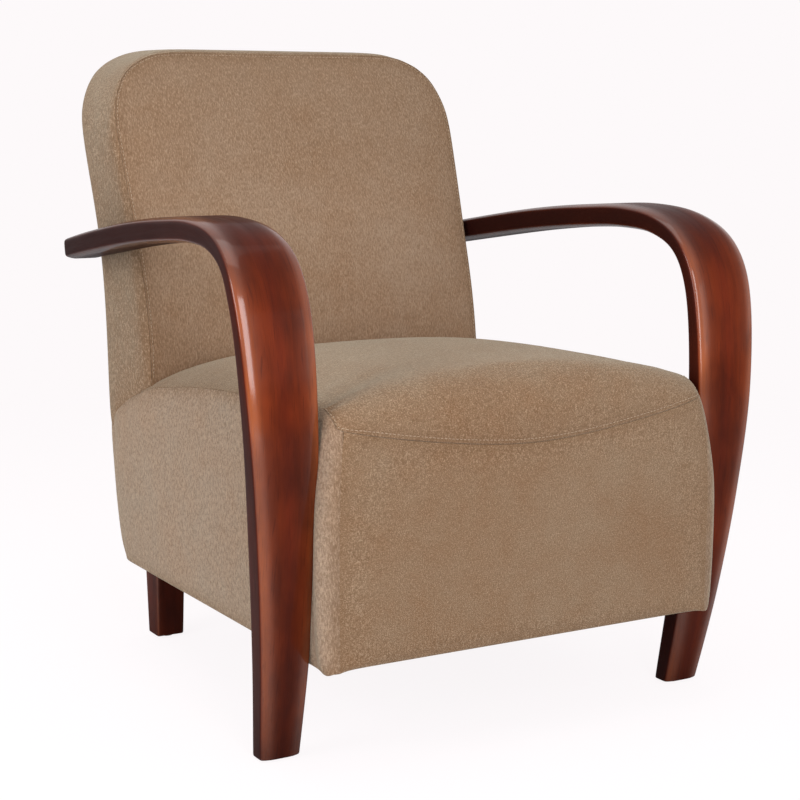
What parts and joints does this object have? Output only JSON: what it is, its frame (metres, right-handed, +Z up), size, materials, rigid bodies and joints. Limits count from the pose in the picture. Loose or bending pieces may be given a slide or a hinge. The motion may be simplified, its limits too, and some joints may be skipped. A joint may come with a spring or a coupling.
{
  "type": "upholstered armchair with bentwood arms",
  "caption": "Low upholstered armchair: bentwood arms that run from the floor to a tail beside the back, a box seat and a leaning back with rounded corners.",
  "frame": {"origin": "on the floor under the middle of the chair's box", "axes": "+Z up, -Y is the front of the chair, +X is on the right of a person who looks at its front"},
  "size_m": [0.701, 0.767, 0.798],
  "materials": {
    "mahogany": "dark reddish brown stain under a satin lacquer",
    "beech": "planed, unfinished",
    "hardboard": "pressed board, unfinished",
    "foam": "soft polyurethane foam under polyester wadding",
    "felt": "needled felt",
    "velour": "short pile velour, brushed in patches",
    "lining": "black non-woven lining",
    "elastic": "woven elastic strap",
    "spring_steel": "drawn wire, lightly oiled",
    "zinc": "bright zinc plate",
    "plastic": "moulded, worn flat underneath"
  },
  "bodies": {
    "root": {"arm_left": "mahogany", "arm_right": "mahogany", "rear_leg_left": "mahogany", "rear_leg_right": "mahogany", "glide_front_left": "plastic", "glide_front_right": "plastic", "glide_rear_left": "plastic", "glide_rear_right": "plastic", "arm_bolt_left_1": "zinc", "arm_bolt_left_2": "zinc", "arm_bolt_left_3": "zinc", "arm_bolt_right_1": "zinc", "arm_bolt_right_2": "zinc", "arm_bolt_right_3": "zinc", "leg_bolt_left": "zinc", "leg_bolt_right": "zinc", "front_post_left": "beech", "front_post_right": "beech", "back_post_left": "beech", "back_post_right": "beech", "front_rail_upper": "beech", "front_rail_lower": "beech", "side_rail_upper_left": "beech", "side_rail_upper_right": "beech", "side_rail_lower_left": "beech", "side_rail_lower_right": "beech", "rear_rail_lower": "beech", "rear_rail_seat": "beech", "lumbar_rail": "beech", "back_top_rail": "beech", "front_board": "hardboard", "side_board_left": "hardboard", "side_board_right": "hardboard", "seat_spring_1": "spring_steel", "seat_spring_2": "spring_steel", "seat_spring_3": "spring_steel", "seat_spring_4": "spring_steel", "seat_spring_5": "spring_steel", "spring_felt": "felt", "back_webbing_1": "elastic", "back_webbing_2": "elastic", "back_webbing_3": "elastic", "back_webbing_4": "elastic", "seat_foam": "foam", "front_pad": "foam", "side_pad_left": "foam", "side_pad_right": "foam", "back_foam": "foam", "seat_cover": "velour", "front_cover": "velour", "side_cover_left": "velour", "side_cover_right": "velour", "inside_back_cover": "velour", "back_boxing": "velour", "outside_back_cover": "velour", "dust_cover": "lining"}
  },
  "joints": []
}
